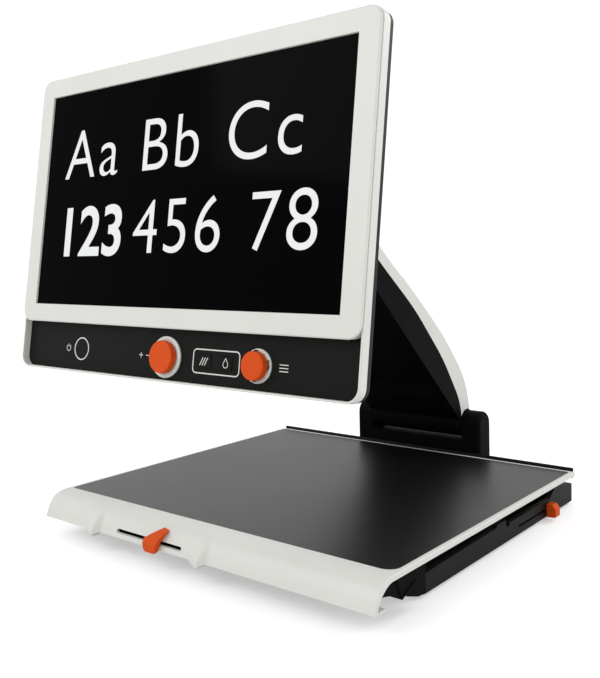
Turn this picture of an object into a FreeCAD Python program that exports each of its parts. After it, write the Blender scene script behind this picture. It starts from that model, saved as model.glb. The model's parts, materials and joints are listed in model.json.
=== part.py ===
"""Desktop video magnifier that folds flat: reading table, camera arm and tilting monitor.

Frame: millimetres, +Z up, the reader sits on the -Y side. The origin lies on the desk under
the middle of the reading table. X = 0 is the plane of symmetry of table, arm and monitor.
"""
import FreeCAD, Part
import math
import os

import Sketcher

DIMENSIONS = {
    # reading table
    "table_wide": 416.0, "table_top": 45.0, "plate_thick": 4.8, "table_back": 188.0,
    "field_wide": 407.5, "field_front": -184.0, "field_back": 182.4, "field_sink": 1.4,
    "field_corner": 4.0, "field_front_corner": 12.0,
    "fin_left": -139.0, "fin_right": 8.2,
    "lip_slot_left": -94.0, "lip_slot_right": -3.5, "lip_slot_mid": 27.3, "lip_slot_tall": 3.8,
    "strip_thick": 3.6, "strip_top": 48.0, "strip_wide": 410.0,
    "rib_inner": 195.6, "rib_outer": 204.0,
    # base
    "tray_wide": 390.0, "tray_front": -127.0, "tray_back": 219.0, "tray_low": 4.0,
    "tray_floor": 8.0, "tray_wall": 5.0, "tray_corner": 8.0, "deck_front": 186.0,
    "floor_thick": 1.5, "foot_radius": 9.0,
    "side_slot_front": 69.0, "side_slot_back": 158.0, "side_slot_mid": 12.2, "side_slot_tall": 2.4,
    # slides
    "rail_radius": 4.0, "bush_radius": 6.5, "x_bush_radius": 5.0, "running_gap": 0.05,
    "y_rail_x": 150.0, "y_rail_z": 15.5, "x_rail_z": 30.5, "x_rail_half": 163.0,
    "bush_front": 25.0, "bush_back": 145.0, "bush_long": 24.0, "table_bush_x": 60.0,
    "carriage_low": 22.5, "carriage_thick": 2.5,
    # rear hinge
    "hinge_y": 214.0, "hinge_z": 79.0, "ear_outer": 88.0, "ear_inner": 65.0, "ear_radius": 16.0,
    "housing_top": 60.0, "shaft_radius": 6.0, "shaft_half": 84.0,
    "inlet_x": -48.0, "inlet_z": 30.0, "inlet_radius": 6.0, "inlet_bore": 3.4, "inlet_back": 238.3,
    # arm
    "arm_half": 64.0, "arm_skin": 2.5, "barrel_radius": 17.0, "arm_slope": 42.9,
    "ridge_y": 24.0, "ridge_z": 245.0, "trough_half": 58.0, "trough_depth": 9.0,
    "spine_half": 47.0, "spine_plate": 3.0, "overrun": 5.0,
    "elbow_y": -84.0, "elbow_z": 368.0, "elbow_pin_radius": 5.0,
    "camera_y": -50.0, "camera_low": 332.0, "camera_tall": 17.0, "camera_radius": 12.0,
    # neck
    "link_inner": 30.0, "link_outer": 38.0, "link_radius": 8.5, "tilt_pin_radius": 4.0,
    "tilt_pin_half": 40.0, "tilt_depth": 46.0,
    # monitor, in its own frame: X right, Y up the screen, Z out of the screen
    "screen_wide": 382.0, "screen_tall": 215.0, "screen_y": -213.4, "screen_z": 355.8,
    "screen_lean": 8.6, "bezel_half": 210.5, "bezel_top": 127.0, "bezel_low": -125.3,
    "bezel_corner": 12.0, "bezel_front": 2.0, "rim_half": 211.0, "rim_top": 127.5,
    "rim_low": -172.5, "rim_wall": 1.8, "rim_back": -10.0, "rim_front": -1.0,
    "panel_front": -8.5, "panel_thick": 1.4, "cover_back": -32.0, "cover_flange": -16.0,
    "cover_wall": 2.5,
    "zoom_x": -1.0, "zoom_y": -150.4, "zoom_radius": 14.45, "zoom_collar": 18.6,
    "zoom_front": 0.4, "function_x": 107.1, "function_y": -150.8, "function_radius": 11.9,
    "function_collar": 14.25, "function_front": 0.8, "knob_shaft": 3.0,
    "power_x": -122.5, "power_y": -149.8, "power_radius": 11.2, "ring_line": 1.25,
    "switch_x": 59.2, "switch_y": -151.1, "switch_wide": 55.0, "switch_tall": 21.6,
    "switch_step": 12.0, "key_wide": 14.0, "key_tall": 12.0,
}

doc = FreeCAD.newDocument("magnifier")
sheet = doc.addObject("Spreadsheet::Sheet", "dims")
sheet.Label = "driving dimensions"
for row, (alias, number) in enumerate(DIMENSIONS.items(), start=1):
    sheet.set(f"A{row}", alias)
    sheet.set(f"B{row}", str(number))
    sheet.setAlias(f"B{row}", alias)
doc.recompute()

nodes = {}


def dim(alias):
    """Read one driving dimension back from the sheet."""
    return float(sheet.get(alias))


def text(size):
    """Write a size as an expression term."""
    return f"({size})" if isinstance(size, str) else f"({size:.6f})"


def finish_node(name, thing):
    """Name a finished piece and keep it for export."""
    thing.Label = name
    nodes[name] = thing
    return thing


# ---------------------------------------------------------------- sketches and features

def plane_of(body, role):
    """One of the body's three origin planes, such as XY_Plane."""
    for feature in body.Origin.OriginFeatures:
        if feature.Role == role:
            return feature
    raise ValueError(role)


def new_body(name):
    """An empty PartDesign body."""
    return doc.addObject("PartDesign::Body", name)


def new_sketch(body, role, height):
    """Attach an empty sketch parallel to an origin plane, at a height along its normal."""
    drawing = body.newObject("Sketcher::SketchObject", f"{body.Name}_sketch")
    drawing.AttachmentSupport = [(plane_of(body, role), "")]
    drawing.MapMode = "FlatFace"
    drawing.setExpression("AttachmentOffset.Base.z", text(height))
    return drawing


def vector(point):
    """A sketch point as a vector."""
    return FreeCAD.Vector(point[0], point[1], 0)


def line(start, end):
    """A straight sketch edge."""
    return Part.LineSegment(vector(start), vector(end))


def smooth(points):
    """A curve through the given points."""
    curve = Part.BSplineCurve()
    curve.interpolate([vector(point) for point in points])
    return curve


def polygon(points):
    """Straight edges through the points, back to the first."""
    return [line(start, end) for start, end in zip(points, points[1:] + points[:1])]


def rounded(corners):
    """A closed outline of straight edges, each corner (x, y, radius) rounded with an arc."""
    edges = []
    turns = []
    count = len(corners)
    for index in range(count):
        x, y, radius = corners[index]
        here = FreeCAD.Vector(x, y, 0)
        before = FreeCAD.Vector(*corners[index - 1][:2], 0).sub(here).normalize()
        after = FreeCAD.Vector(*corners[(index + 1) % count][:2], 0).sub(here).normalize()
        half = before.getAngle(after) / 2
        reach = radius / math.tan(half)
        middle = (before + after).normalize() * (radius / math.sin(half) - radius)
        turns.append((here + before * reach, here + middle, here + after * reach, radius))
    for index, (first, middle, last, radius) in enumerate(turns):
        if radius > 0:
            edges.append(Part.Arc(first, middle, last))
        following = turns[(index + 1) % count][0]
        if last.distanceToPoint(following) > 0.001:
            edges.append(Part.LineSegment(last, following))
    return edges


def rectangle(low_x, high_x, low_y, high_y, radius=0.0):
    """Corners of a rectangle, all with one corner radius."""
    return rounded([(low_x, low_y, radius), (high_x, low_y, radius),
                    (high_x, high_y, radius), (low_x, high_y, radius)])


def slot(start, end, radius):
    """An outline of two half circles joined by straight edges."""
    first = FreeCAD.Vector(*start, 0)
    last = FreeCAD.Vector(*end, 0)
    along = last.sub(first).normalize() * radius
    across = FreeCAD.Vector(-along.y, along.x, 0)
    return [Part.LineSegment(first - across, last - across),
            Part.Arc(last - across, last + along, last + across),
            Part.LineSegment(last + across, first + across),
            Part.Arc(first + across, first - along, first - across)]


def circle(x, y, radius):
    """A full circle as a list of one sketch edge."""
    return [Part.Circle(FreeCAD.Vector(x, y, 0), FreeCAD.Vector(0, 0, 1), radius)]


def pad(body, role, edges, low, high):
    """Add the outline to the body, from one height to another along the plane's normal."""
    drawing = new_sketch(body, role, low)
    drawing.addGeometry(edges, False)
    feature = body.newObject("PartDesign::Pad", f"{body.Name}_pad")
    feature.Profile = drawing
    feature.setExpression("Length", f"{text(high)} - {text(low)}")
    return feature


def cut(body, role, edges, low, high):
    """Take the outline out of the body, from one height down to another."""
    drawing = new_sketch(body, role, high)
    drawing.addGeometry(edges, False)
    feature = body.newObject("PartDesign::Pocket", f"{body.Name}_cut")
    feature.Profile = drawing
    feature.setExpression("Length", f"{text(high)} - {text(low)}")
    return feature


def bore(body, role, centre, radius, low, high):
    """Cut a round hole whose radius is a constraint tied to the sheet."""
    drawing = new_sketch(body, role, high)
    drawing.addGeometry(circle(centre[0], centre[1], 1.0), False)
    drawing.addConstraint(Sketcher.Constraint("Radius", 0, 1.0))
    drawing.setExpression("Constraints[0]", text(radius))
    feature = body.newObject("PartDesign::Pocket", f"{body.Name}_bore")
    feature.Profile = drawing
    feature.setExpression("Length", f"{text(high)} - {text(low)}")
    return feature


def boss(body, role, centre, radius, low, high):
    """Add a round boss whose radius is a constraint tied to the sheet."""
    drawing = new_sketch(body, role, low)
    drawing.addGeometry(circle(centre[0], centre[1], 1.0), False)
    drawing.addConstraint(Sketcher.Constraint("Radius", 0, 1.0))
    drawing.setExpression("Constraints[0]", text(radius))
    feature = body.newObject("PartDesign::Pad", f"{body.Name}_boss")
    feature.Profile = drawing
    feature.setExpression("Length", f"{text(high)} - {text(low)}")
    return feature


def edges_where(shape, test):
    """Names of the edges whose two ends and middle all pass a test."""
    names = []
    for number, edge in enumerate(shape.Edges, start=1):
        middle = edge.valueAt((edge.FirstParameter + edge.LastParameter) / 2)
        points = [vertex.Point for vertex in edge.Vertexes] + [middle]
        if all(test(point) for point in points):
            names.append(f"Edge{number}")
    return names


def soften(body, test, radius):
    """Round the edges that pass a test."""
    doc.recompute()
    base = body.Tip
    names = edges_where(base.Shape, test)
    if not names:
        raise ValueError(f"{body.Name} has no edge to round")
    feature = body.newObject("PartDesign::Fillet", f"{body.Name}_fillet")
    feature.Base = (base, names)
    feature.Radius = radius
    return feature


def near(value, target, reach=0.02):
    """True where a value lies within reach of a target."""
    return abs(value - target) < reach


def box(name, x_range, y_range, z_range):
    """A Part box between two corners, its sizes tied to the sheet where they are expressions."""
    thing = doc.addObject("Part::Box", name)
    for prop, axis, (low, high) in (("Length", "x", x_range), ("Width", "y", y_range),
                                    ("Height", "z", z_range)):
        thing.setExpression(prop, f"{text(high)} - {text(low)}")
        thing.setExpression(f"Placement.Base.{axis}", text(low))
    return thing


def rod(name, start, direction, radius, length):
    """A Part cylinder from a start point along a direction."""
    thing = doc.addObject("Part::Cylinder", name)
    thing.setExpression("Radius", text(radius))
    thing.setExpression("Height", text(length))
    turn = FreeCAD.Rotation(FreeCAD.Vector(0, 0, 1), FreeCAD.Vector(*direction))
    thing.Placement = FreeCAD.Placement(FreeCAD.Vector(*start), turn)
    return thing


def sleeve(name, start, direction, outer, inner, length):
    """A plain bush: a tube with a bore."""
    tube = doc.addObject("Part::Cut", name)
    tube.Base = rod(f"{name}_outside", start, direction, outer, length)
    tube.Tool = rod(f"{name}_bore", start, direction, inner, length)
    return tube


def group(name, things):
    """Several loose solids that share one node."""
    together = doc.addObject("Part::Compound", name)
    together.Links = things
    return finish_node(name, together)


# ---------------------------------------------------------------- base

X_AXIS = (1, 0, 0)
Y_AXIS = (0, 1, 0)
Z_AXIS = (0, 0, 1)
SCREW_SHANK = 1.5
SCREW_HEAD = 2.8
SCREW_TOP = 7.0
OPEN_TOP = 60.0
PAST = 1.0
FLOOR_SCREWS = [(x, y) for x in (-140.0, 0.0, 140.0) for y in (-100.0, 172.0)]
FEET = [(x, y) for x in (-178.0, 178.0) for y in (-105.0, 180.0)]
BAY_WALL = 6.0          # between the hinge notch and each rear bay
Y_RAIL_FRONT = -124.5
Y_RAIL_BACK = 184.0
NOT_QUITE = 0.05        # keeps a straight edge between two round slot ends


def base_tray():
    """Open tray with low stepped side walls, a slot for the side lever and a hinge notch."""
    half = dim("tray_wide") / 2
    front = dim("tray_front")
    back = dim("tray_back")
    low = dim("tray_low")
    body = new_body("tray")
    side = polygon([(front, low), (front, 21.5), (18.6, 24.0), (18.6, 26.6), (37.6, 26.6),
                    (41.0, 19.0), (47.0, 19.0), (47.0, 21.6), (150.0, 21.6), (162.0, 29.6),
                    (190.0, 29.6), (back, 22.6), (back, low)])
    pad(body, "YZ_Plane", side, "-dims.tray_wide / 2", "dims.tray_wide / 2")
    soften(body, lambda p: near(abs(p.x), half) and (near(p.y, front) or near(p.y, back)),
           dim("tray_corner"))
    wall = dim("tray_wall")
    corner = 3.0
    inside = rectangle(-half + wall, half - wall, front + wall, dim("deck_front") - wall, corner)
    cut(body, "XY_Plane", inside, "dims.tray_floor", OPEN_TOP)
    for side_sign in (-1, 1):
        bay = sorted((side_sign * (dim("ear_outer") + BAY_WALL), side_sign * (half - wall)))
        cut(body, "XY_Plane", rectangle(bay[0], bay[1], dim("deck_front"), back - wall, corner),
            "dims.tray_floor", OPEN_TOP)
    clearance = 0.3
    notch_half = dim("ear_outer") + clearance
    notch_front = dim("hinge_y") - dim("ear_radius") - clearance
    cut(body, "XY_Plane", rectangle(-notch_half, notch_half, notch_front, back + BAY_WALL),
        0.0, OPEN_TOP)
    slot_mid = dim("side_slot_mid")
    slot_half = dim("side_slot_tall") / 2
    lever_slot = rectangle(dim("side_slot_front"), dim("side_slot_back"),
                           slot_mid - slot_half, slot_mid + slot_half, slot_half - NOT_QUITE)
    cut(body, "YZ_Plane", lever_slot, half - 3 * wall, half + wall)
    for sign in (-1, 1):
        bore(body, "XZ_Plane", (sign * dim("y_rail_x"), dim("y_rail_z")), "dims.rail_radius",
             -Y_RAIL_BACK, -Y_RAIL_FRONT)
    for x, y in FLOOR_SCREWS:
        bore(body, "XY_Plane", (x, y), SCREW_SHANK, 0.0, SCREW_TOP)
    return finish_node("base_tray", body)


def base_floor():
    """Thin steel plate that closes the underside of the tray."""
    body = new_body("floor_plate")
    border = 3.0
    half = dim("tray_wide") / 2 - border
    floor_back = dim("hinge_y") - dim("ear_radius") - 1.0
    outline = rectangle(-half, half, dim("tray_front") + border, floor_back, 2 * border)
    pad(body, "XY_Plane", outline, "dims.tray_low - dims.floor_thick", "dims.tray_low")
    for x, y in FLOOR_SCREWS:
        bore(body, "XY_Plane", (x, y), SCREW_SHANK, 0.0, SCREW_TOP)
    for x, y in FEET:
        bore(body, "XY_Plane", (x, y), "dims.foot_radius + 0.2", 0.0, SCREW_TOP)
    return finish_node("base_floor", body)


def rubber_feet():
    """Four round feet that show below the floor plate."""
    feet = []
    for index, (x, y) in enumerate(FEET):
        feet.append(rod(f"foot_{index}", (x, y, 0), Z_AXIS, "dims.foot_radius", "dims.tray_low"))
    return group("rubber_feet", feet)


def floor_screws():
    """Six screws: a flat head under the floor plate and a shank up into the tray."""
    screws = []
    head_tall = 1.2
    seat = dim("tray_low") - dim("floor_thick")
    for index, (x, y) in enumerate(FLOOR_SCREWS):
        head = rod(f"floor_head_{index}", (x, y, seat - head_tall), Z_AXIS, SCREW_HEAD, head_tall)
        shank = rod(f"floor_shank_{index}", (x, y, seat), Z_AXIS, SCREW_SHANK,
                    SCREW_TOP - seat)
        screw = doc.addObject("Part::Fuse", f"floor_screw_{index}")
        screw.Base = head
        screw.Tool = shank
        screws.append(screw)
    return group("floor_screws", screws)


def y_rails():
    """Two ground rods that carry the carriage, held in the tray's front and rear walls."""
    rails = []
    for sign in (-1, 1):
        start = (sign * dim("y_rail_x"), Y_RAIL_FRONT, dim("y_rail_z"))
        rails.append(rod(f"y_rail_{sign + 1}", start, Y_AXIS, "dims.rail_radius",
                         Y_RAIL_BACK - Y_RAIL_FRONT))
    return group("y_rails", rails)


def rear_deck():
    """Lid over the rear of the tray, left and right of the hinge."""
    half = dim("tray_wide") / 2 - dim("tray_wall")
    lid_gap = 0.2
    lid_low = 20.4
    lid_thick = 2.0
    lids = []
    for index, sign in enumerate((-1, 1)):
        body = new_body(f"deck_{index}")
        inner, outer = sorted((sign * (dim("ear_outer") + BAY_WALL), sign * half))
        lid = rectangle(inner + lid_gap, outer - lid_gap, dim("deck_front") + lid_gap,
                        dim("tray_back") - dim("tray_wall") - lid_gap, 2.8)
        pad(body, "XY_Plane", lid, lid_low, lid_low + lid_thick)
        lids.append(body)
    return group("rear_deck", lids)


def hinge_housing():
    """Block on the rear edge with two rounded ears that hold the arm's shaft."""
    body = new_body("housing")
    y = dim("hinge_y")
    z = dim("hinge_z")
    radius = dim("ear_radius")
    low = dim("tray_low")
    ear = [line((y - radius, low), (y + radius, low)),
           line((y + radius, low), (y + radius, z)),
           Part.Arc(FreeCAD.Vector(y + radius, z, 0), FreeCAD.Vector(y, z + radius, 0),
                    FreeCAD.Vector(y - radius, z, 0)),
           line((y - radius, z), (y - radius, low))]
    pad(body, "YZ_Plane", ear, "-dims.ear_outer", "dims.ear_outer")
    gap = rectangle(y - 40.0, y + 40.0, dim("housing_top"), z + 40.0)
    cut(body, "YZ_Plane", gap, "-dims.ear_inner", "dims.ear_inner")
    hollow_half = dim("ear_outer") - 10.0
    skin = 4.0
    hollow = rectangle(-hollow_half, hollow_half, y - radius + skin, y + radius - skin, 3.0)
    cut(body, "XY_Plane", hollow, 0.0, dim("housing_top") - 2 * skin)
    bore(body, "YZ_Plane", (y, z), "dims.shaft_radius", "-dims.shaft_half", "dims.shaft_half")
    bore(body, "XZ_Plane", (dim("inlet_x"), dim("inlet_z")), "dims.inlet_radius",
         -(y + radius + PAST), -(y + radius - skin - PAST))
    outer = dim("ear_outer")
    soften(body, lambda p: near(abs(p.x), outer) and p.z > low + 0.5, 5.0)
    inner = dim("ear_inner")
    soften(body, lambda p: near(abs(p.x), inner) and p.z > dim("housing_top") + 0.5
           and math.hypot(p.y - y, p.z - z) > radius - 0.5, 1.5)
    return finish_node("hinge_housing", body)


def power_inlet():
    """Round socket for the power lead, through the rear wall of the hinge housing."""
    body = new_body("inlet")
    spot = (dim("inlet_x"), dim("inlet_z"))
    wall = dim("hinge_y") + dim("ear_radius")
    flange_half = 9.0
    flange_thick = 1.6
    inner_end = wall - 16.0
    boss(body, "XZ_Plane", spot, "dims.inlet_radius", "-dims.inlet_back", -inner_end)
    flange = rectangle(spot[0] - flange_half, spot[0] + flange_half,
                       spot[1] - flange_half, spot[1] + flange_half, 2.5)
    pad(body, "XZ_Plane", flange, -(wall + flange_thick), -wall)
    bore(body, "XZ_Plane", spot, "dims.inlet_bore", "-dims.inlet_back", -(inner_end + 4.0))
    return finish_node("power_inlet", body)


def hinge_shaft():
    """Steel shaft through both ears; the arm turns on it."""
    start = (-dim("shaft_half"), dim("hinge_y"), dim("hinge_z"))
    return finish_node("hinge_shaft", rod("arm_shaft", start, X_AXIS, "dims.shaft_radius",
                                          "2 * dims.shaft_half"))


def hinge_spring():
    """Coil around the shaft that carries part of the arm's weight."""
    coil_radius = 9.5
    wire_radius = 1.2
    length = 50.0
    helix = Part.makeHelix(5.0, length, coil_radius)
    start = FreeCAD.Vector(coil_radius, 0, 0)
    wire = Part.Wire(Part.makeCircle(wire_radius, start, FreeCAD.Vector(0, 1, 0)))
    coil = Part.Wire(helix.Edges).makePipeShell([wire], True, True)
    spring = doc.addObject("Part::Feature", "spring")
    spring.Shape = coil
    turn = FreeCAD.Rotation(FreeCAD.Vector(0, 0, 1), FreeCAD.Vector(1, 0, 0))
    place = FreeCAD.Vector(-length / 2, dim("hinge_y"), dim("hinge_z"))
    spring.Placement = FreeCAD.Placement(place, turn)
    return finish_node("hinge_spring", spring)


def base_inside():
    """Power board and battery in the two rear bays."""
    bay_y = (190.0, 210.0)
    bay_z = (9.0, 19.0)
    finish_node("power_board", box("board", (-180.0, -104.0), bay_y, bay_z))
    finish_node("battery_pack", box("battery", (104.0, 184.0), bay_y, bay_z))


# ---------------------------------------------------------------- carriage

def carriage_plate():
    """Plate that slides front to back, with hangers under it and towers over it."""
    body = new_body("carriage")
    low = dim("carriage_low")
    high = low + dim("carriage_thick")
    border = 16.0
    half = 172.0
    y_low = dim("bush_front") - border
    y_high = dim("bush_back") + border
    pad(body, "XY_Plane", rectangle(-half, half, y_low, y_high, 6.0), low, high)
    window_half = 130.0
    band = 34.0
    window = rectangle(-window_half, window_half, y_low + band, y_high - band, 10.0)
    cut(body, "XY_Plane", window, low - PAST, high + PAST)
    hanger_low = 8.6
    tower_top = 36.0
    tower_x = 166.0
    for sign in (-1, 1):
        rail_x = sign * dim("y_rail_x")
        for y in (dim("bush_front"), dim("bush_back")):
            hanger = rectangle(rail_x - 9.0, rail_x + 9.0, y - 11.0, y + 11.0, 2.0)
            pad(body, "XY_Plane", hanger, hanger_low, low)
            middle = sign * tower_x
            tower = rectangle(middle - 5.0, middle + 5.0, y - 7.0, y + 7.0, 2.0)
            pad(body, "XY_Plane", tower, high, tower_top)
    reach = dim("bush_back") + 20.0
    for sign in (-1, 1):
        bore(body, "XZ_Plane", (sign * dim("y_rail_x"), dim("y_rail_z")), "dims.bush_radius",
             -reach, reach)
    for y in (dim("bush_front"), dim("bush_back")):
        bore(body, "YZ_Plane", (y, dim("x_rail_z")), "dims.rail_radius",
             "-dims.x_rail_half", "dims.x_rail_half")
    return finish_node("carriage_plate", body)


def y_bushes():
    """Four bronze bushes in the carriage's hangers, on the two lower rods."""
    half = dim("bush_long") / 2
    bushes = []
    for sign in (-1, 1):
        for y in (dim("bush_front"), dim("bush_back")):
            start = (sign * dim("y_rail_x"), y - half, dim("y_rail_z"))
            bushes.append(sleeve(f"y_bush_{len(bushes)}", start, Y_AXIS, "dims.bush_radius",
                                 "dims.rail_radius + dims.running_gap", "dims.bush_long"))
    return group("y_bushes", bushes)


def x_rails():
    """Two ground rods across the carriage that carry the table."""
    rails = []
    for y in (dim("bush_front"), dim("bush_back")):
        start = (-dim("x_rail_half"), y, dim("x_rail_z"))
        rails.append(rod(f"x_rail_{len(rails)}", start, X_AXIS, "dims.rail_radius",
                         "2 * dims.x_rail_half"))
    return group("x_rails", rails)


# ---------------------------------------------------------------- table

LIP_OUTSIDE = [(-186.0, 45.0), (-197.0, 44.2), (-205.0, 41.0), (-210.4, 35.2), (-214.0, 28.6),
               (-216.6, 21.0)]
LIP_INSIDE = [(-213.0, 22.6), (-211.2, 27.4), (-206.6, 33.2), (-200.8, 37.4), (-192.5, 40.2)]
LIP_HOOK = [(-202.0, 21.0), (-202.0, 22.6)]
FIELD_GAP = 0.15


def table_plate():
    """Table shell: a flat plate with a curved front lip, two finger fins and a lever slot."""
    body = new_body("table_shell")
    half = dim("table_wide") / 2
    back = dim("table_back")
    top = dim("table_top")
    low = top - dim("plate_thick")
    rim_round = 2.0
    edges = [smooth(LIP_OUTSIDE), line(LIP_OUTSIDE[-1], LIP_HOOK[0]), line(*LIP_HOOK),
             line(LIP_HOOK[-1], LIP_INSIDE[0]), smooth(LIP_INSIDE),
             line(LIP_INSIDE[-1], (back - rim_round, low)),
             Part.Arc(FreeCAD.Vector(back - rim_round, low, 0),
                      FreeCAD.Vector(back, (top + low) / 2, 0),
                      FreeCAD.Vector(back - rim_round, top, 0)),
             line((back - rim_round, top), LIP_OUTSIDE[0])]
    pad(body, "YZ_Plane", edges, "-dims.table_wide / 2", "dims.table_wide / 2")
    soften(body, lambda p: (near(abs(p.x), half)
                            and (p.z > low + 0.5 or on_line(p, LIP_OUTSIDE, 0.1))), 1.2)
    finger_fin(body, "dims.fin_left")
    finger_fin(body, "dims.fin_right")
    slot_mid = dim("lip_slot_mid")
    slot_half = dim("lip_slot_tall") / 2
    lever_slot = rectangle(dim("lip_slot_left"), dim("lip_slot_right"),
                           slot_mid - slot_half, slot_mid + slot_half, slot_half - NOT_QUITE)
    cut(body, "XZ_Plane", lever_slot, 195.0, 240.0)
    sink = field_outline(FIELD_GAP)
    cut(body, "XY_Plane", sink, "dims.table_top - dims.field_sink", "dims.table_top + 5")
    block_low = 25.4
    for y in (dim("bush_front"), dim("bush_back")):
        for sign in (-1, 1):
            x = sign * dim("table_bush_x")
            block = rectangle(x - 13.0, x + 13.0, y - 9.0, y + 9.0, 2.0)
            pad(body, "XY_Plane", block, block_low, low)
        bore(body, "YZ_Plane", (y, dim("x_rail_z")), "dims.x_bush_radius", -80.0, 80.0)
    return finish_node("table_plate", body)


# Finger fin: its outer line on the bare lip, the same line at full size, and the line inside
# the lip that closes every section. FIN_GROWTH lists (distance along X, share of the fin's
# full reach, share of its full drop below the lip).
FIN_ON_LIP = [(-205.6, 40.5), (-208.3, 37.8), (-210.9, 34.2), (-213.0, 30.6), (-214.6, 26.9),
              (-215.8, 23.5), (-216.5, 21.2)]
FIN_FULL = [(-206.0, 40.9), (-211.3, 37.6), (-216.0, 33.8), (-219.6, 29.6), (-222.0, 25.4),
            (-223.2, 23.0), (-223.5, 21.2)]
FIN_INSIDE = [(-213.4, 22.2), (-213.7, 25.0), (-210.8, 31.0), (-207.0, 36.0), (-203.8, 39.6)]
FIN_DROP = 4.2
FIN_GROWTH = [(0.0, 0.0, 1.0), (4.0, 0.16, 1.0), (8.0, 0.46, 1.0), (11.0, 0.75, 1.0),
              (14.0, 0.96, 0.94), (16.0, 1.0, 0.8), (17.6, 0.82, 0.5), (19.0, 0.5, 0.22),
              (20.5, 0.2, 0.06), (22.5, 0.02, 0.01)]


def fin_section(reach, drop):
    """Outline of a fin in the (Y, Z) plane for shares of its full reach and drop."""
    front = [(y + reach * (far_y - y), z + reach * (far_z - z))
             for (y, z), (far_y, far_z) in zip(FIN_ON_LIP, FIN_FULL)]
    edge_y, edge_z = front[-1]
    fall = drop * FIN_DROP
    corner = 0.25
    foot = [(edge_y + 0.1, edge_z - 0.05 - (1 - corner) * fall),
            (edge_y + 1.2, edge_z - 0.1 - fall), (FIN_INSIDE[0][0], edge_z - 0.1 - fall)]
    return polygon(front + foot + FIN_INSIDE)


def finger_fin(body, left):
    """A fin on the lip: it grows out of the lip towards the right and ends in a steep flank."""
    sections = []
    for along, reach, drop in FIN_GROWTH:
        drawing = new_sketch(body, "YZ_Plane", f"{left} + {along}")
        drawing.addGeometry(fin_section(reach, drop), False)
        sections.append(drawing)
    loft = body.newObject("PartDesign::AdditiveLoft", "fin")
    loft.Profile = sections[0]
    loft.Sections = sections[1:]
    loft.Ruled = True


def field_outline(grow):
    """Outline of the black reading field; its near right corner has the larger radius."""
    x = dim("field_wide") / 2 + grow
    front = dim("field_front") - grow
    back = dim("field_back") + grow
    small = dim("field_corner")
    return rounded([(-x, front, small), (x, front, dim("field_front_corner")), (x, back, small),
                    (-x, back, small)])


def reading_surface():
    """Black sheet let into the top of the table."""
    body = new_body("field")
    pad(body, "XY_Plane", field_outline(0.0), "dims.table_top - dims.field_sink",
        "dims.table_top - 0.1")
    return finish_node("reading_surface", body)


def rear_strip():
    """Low black fence behind the table's rear edge that stops a book sliding off."""
    body = new_body("fence")
    half = dim("strip_wide") / 2
    y_low = dim("table_back") + 0.1
    y_high = y_low + dim("strip_thick")
    low = 37.0
    high = dim("strip_top")
    outline = rounded([(y_low, low, 0.4), (y_high, low, 0.4), (y_high, high, 1.2),
                       (y_low, high, 1.2)])
    pad(body, "YZ_Plane", outline, -half, half)
    return finish_node("rear_strip", body)


END_PLATE = [(-193.0, 39.4), (-200.4, 36.9), (-206.0, 32.9), (-204.5, 29.5), (-198.7, 29.3),
             (-191.9, 27.8), (-180.0, 23.5), (-172.7, 18.8), (-167.0, 20.5), (-164.0, 18.6),
             (-146.4, 12.7), (-134.5, 12.0), (-134.5, 40.1), (-190.0, 40.1)]
END_RIDGE = [(-180.3, 35.0), (-178.3, 35.2), (-172.2, 21.0), (-151.0, 28.8), (-150.4, 27.2),
             (-173.0, 18.9)]


def table_ribs():
    """Black end plates under the table's two front corners, each with a V-shaped ridge."""
    ribs = []
    for sign in (-1, 1):
        body = new_body(f"rib_{sign + 1}")
        low, high = sorted((sign * dim("rib_inner"), sign * dim("rib_outer")))
        pad(body, "YZ_Plane", polygon(END_PLATE), low, high)
        low, high = sorted((sign * dim("rib_outer"), sign * (dim("rib_outer") + 1.0)))
        pad(body, "YZ_Plane", polygon(END_RIDGE), low, high)
        ribs.append(body)
    return group("table_ribs", ribs)


def lock_guide():
    """Black liner behind the lip, with a channel for the front lever's tongue."""
    body = new_body("guide")
    half = dim("rib_inner") - 0.2
    liner = [(-184.0, 40.1), (-193.0, 39.4), (-200.4, 36.9), (-206.0, 32.9), (-208.4, 29.8),
             (-198.0, 29.2), (-184.0, 24.0)]
    pad(body, "YZ_Plane", polygon(liner), -half, half)
    low = dim("lip_slot_left") - 5.0
    high = dim("lip_slot_right") + 5.0
    trough = [(-212.2, 22.7), (-200.0, 22.7), (-200.0, 31.0), (-206.0, 31.6), (-209.4, 28.8),
              (-211.0, 26.2)]
    pad(body, "YZ_Plane", polygon(trough), low, high)
    slot_mid = dim("lip_slot_mid")
    play = 1.6
    channel = rectangle(-214.0, -203.0, slot_mid - play, slot_mid + play)
    cut(body, "YZ_Plane", channel, low + 4.0, high - 4.0)
    return finish_node("lock_guide", body)


def x_bushes():
    """Four bronze bushes in the blocks under the table, on the two upper rods."""
    half = dim("bush_long") / 2
    bushes = []
    for sign in (-1, 1):
        for y in (dim("bush_front"), dim("bush_back")):
            start = (sign * dim("table_bush_x") - half, y, dim("x_rail_z"))
            bushes.append(sleeve(f"x_bush_{len(bushes)}", start, X_AXIS, "dims.x_bush_radius",
                                 "dims.rail_radius + dims.running_gap", "dims.bush_long"))
    return group("x_bushes", bushes)


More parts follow.
